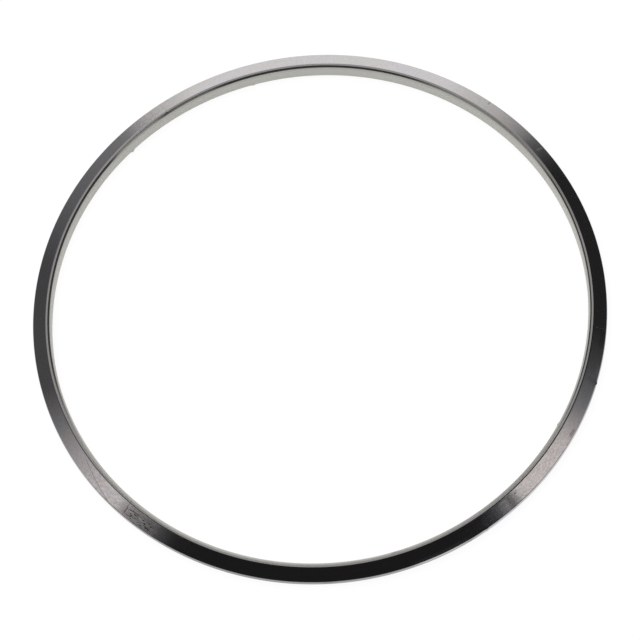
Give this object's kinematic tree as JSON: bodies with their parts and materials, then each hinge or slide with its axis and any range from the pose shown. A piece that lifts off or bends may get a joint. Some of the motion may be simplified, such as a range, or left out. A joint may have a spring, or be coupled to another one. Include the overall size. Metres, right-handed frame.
{
  "type": "exhaust gasket",
  "caption": "Jacketed steel sealing ring with a sloping cone on each side, squeezed between two conical exhaust flanges by a clamp.",
  "frame": {"origin": "Centre of the ring, on the plane of its lower flat land, so the ring lies on z = 0.", "axes": "+Z is the ring's axis and points up out of the upper face. The ring is round, so +X and +Y are any two directions across it."},
  "size_m": [0.3, 0.3, 0.01],
  "materials": {
    "outer_steel": "bright rolled stainless sheet, with fine marks",
    "inner_steel": "satin stainless sheet",
    "filler": "matt pressed mineral filler"
  },
  "bodies": {
    "root": {"outer_jacket": "outer_steel", "inner_jacket": "inner_steel", "filler_core": "filler"}
  },
  "joints": []
}
